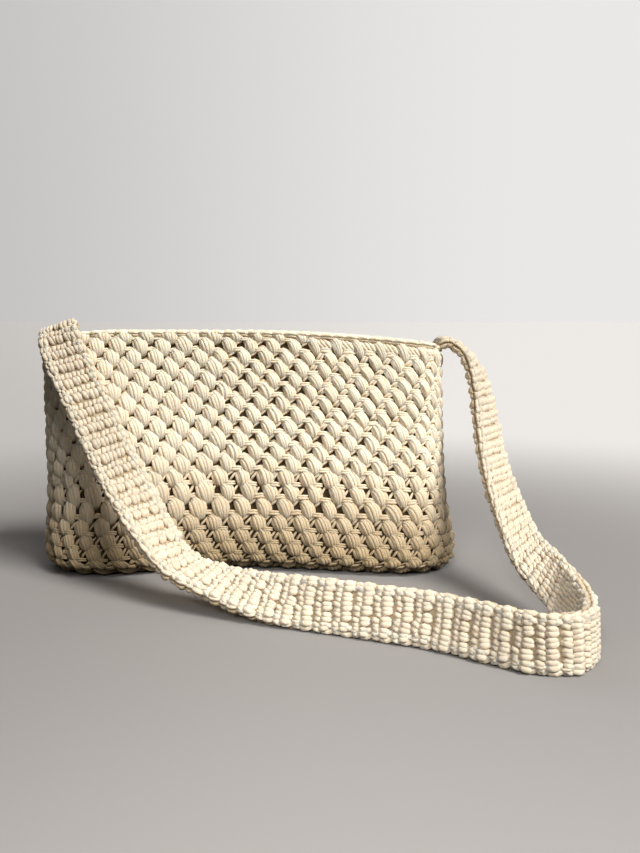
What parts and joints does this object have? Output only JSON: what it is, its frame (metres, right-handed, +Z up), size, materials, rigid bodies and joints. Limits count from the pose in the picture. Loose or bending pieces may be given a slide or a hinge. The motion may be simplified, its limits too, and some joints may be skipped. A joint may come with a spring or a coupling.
{
  "type": "crochet sling bag",
  "caption": "Cream crochet sling bag in puff stitch, open at the top, standing on its base with its flat ribbed crochet strap draped in front.",
  "frame": {"origin": "centre of the flat base of the bag, on the surface that it stands on", "axes": "+X along the bag's width, to the right seen from the front; +Y from the front to the back; +Z up"},
  "size_m": [0.3566, 0.299, 0.1801],
  "materials": {
    "cotton_body": "matt cream cotton yarn in puff stitch",
    "cotton_edging": "matt cream cotton yarn in chain stitch",
    "cotton_strap": "matt cream cotton yarn in ribbed single crochet"
  },
  "bodies": {
    "root": {"bag_body": "cotton_body", "rim_edging": "cotton_edging", "strap": "cotton_strap"}
  },
  "joints": []
}
